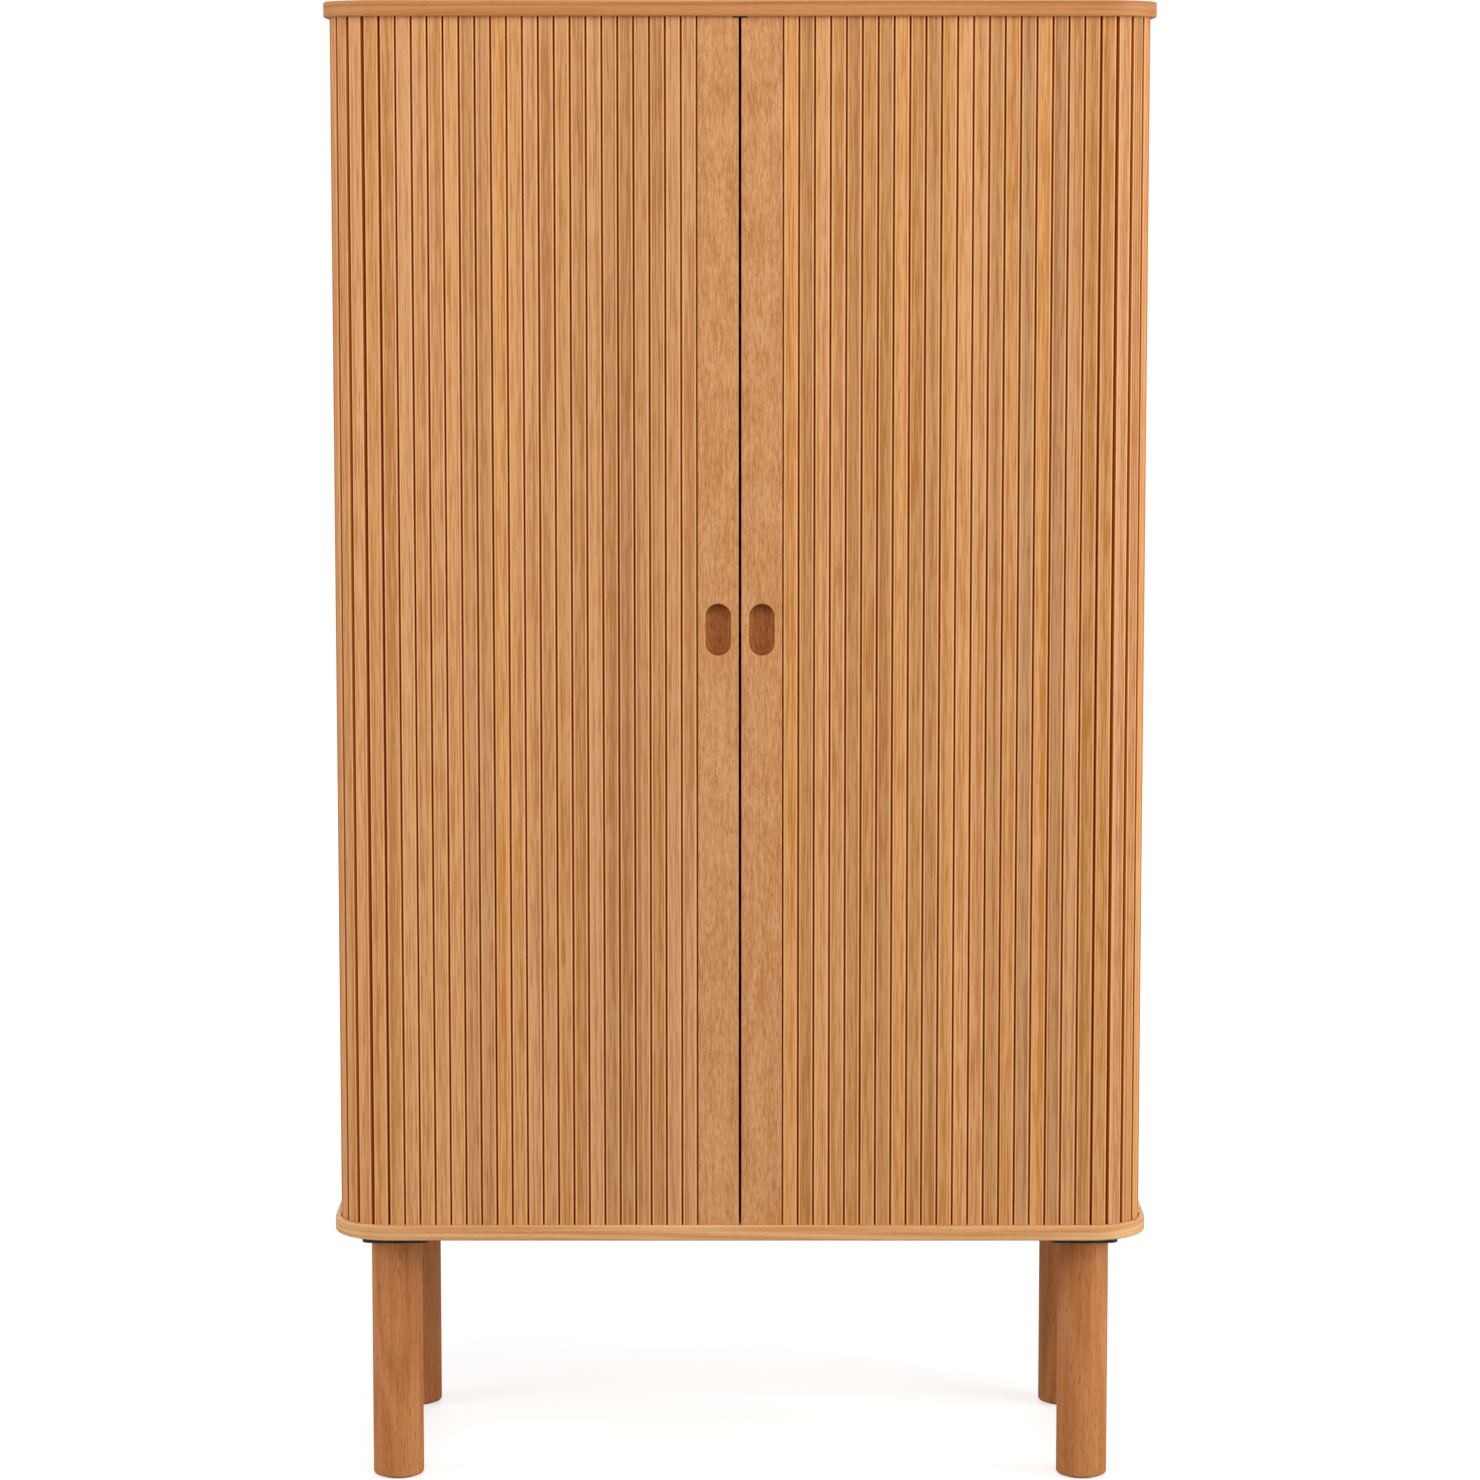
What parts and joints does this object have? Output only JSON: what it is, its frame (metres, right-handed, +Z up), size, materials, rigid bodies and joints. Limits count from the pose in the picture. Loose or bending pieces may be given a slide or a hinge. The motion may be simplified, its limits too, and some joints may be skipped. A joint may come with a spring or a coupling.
{
  "type": "tambour door cabinet",
  "caption": "Tall oak cabinet on round legs, with rounded corners and slatted tambour doors that slide apart round the corners to open shelves.",
  "frame": {"origin": "on the floor, under the middle of the cabinet", "axes": "+Z up, +X to the right seen from the front, the doors face -Y"},
  "size_m": [0.8, 0.4, 1.45],
  "materials": {
    "oak_panel": "oiled honey oak, grain along the edge",
    "oak_slat": "oiled honey oak slats, upright grain",
    "oak_rail": "oiled honey oak, upright grain with fine pores",
    "oak_leg": "oiled honey oak, turned, upright grain",
    "oak_veneer": "oak veneer, matt lacquer",
    "back_board": "plain plywood, matt",
    "canvas": "brown woven cotton canvas",
    "black_plastic": "moulded black plastic",
    "pin_steel": "plain steel",
    "glide_plastic": "hard plastic glide"
  },
  "bodies": {
    "cabinet": {"top_panel": "oak_panel", "bottom_panel": "oak_panel", "left_front_slats": "oak_slat", "right_front_slats": "oak_slat", "left_corner_slats": "oak_slat", "right_corner_slats": "oak_slat", "left_side_slats": "oak_slat", "right_side_slats": "oak_slat", "left_rear_slats": "oak_slat", "right_rear_slats": "oak_slat", "front_left_leg": "oak_leg", "front_right_leg": "oak_leg", "rear_left_leg": "oak_leg", "rear_right_leg": "oak_leg", "left_front_canvas": "canvas", "right_front_canvas": "canvas", "left_wrap_canvas": "canvas", "right_wrap_canvas": "canvas", "left_case_side": "oak_veneer", "right_case_side": "oak_veneer", "case_back": "oak_veneer", "shelf_1": "oak_veneer", "shelf_2": "oak_veneer", "shelf_3": "oak_veneer", "rear_post": "back_board", "back_panel": "back_board", "front_left_leg_bracket": "black_plastic", "front_right_leg_bracket": "black_plastic", "rear_left_leg_bracket": "black_plastic", "rear_right_leg_bracket": "black_plastic", "rail_stop": "black_plastic", "shelf_pins": "pin_steel", "foot_glides": "glide_plastic"},
    "left_door": {"left_lead_rail": "oak_rail"},
    "right_door": {"right_lead_rail": "oak_rail"}
  },
  "joints": [
    {"name": "left_door_slide", "type": "slide", "parent": "cabinet", "child": "left_door", "axis": [-1, 0, 0], "range_m": [0, 0.296], "deforming": ["left_front_slats", "left_front_canvas"]},
    {"name": "right_door_slide", "type": "slide", "parent": "cabinet", "child": "right_door", "axis": [1, 0, 0], "range_m": [0, 0.296], "deforming": ["right_front_slats", "right_front_canvas"]}
  ]
}
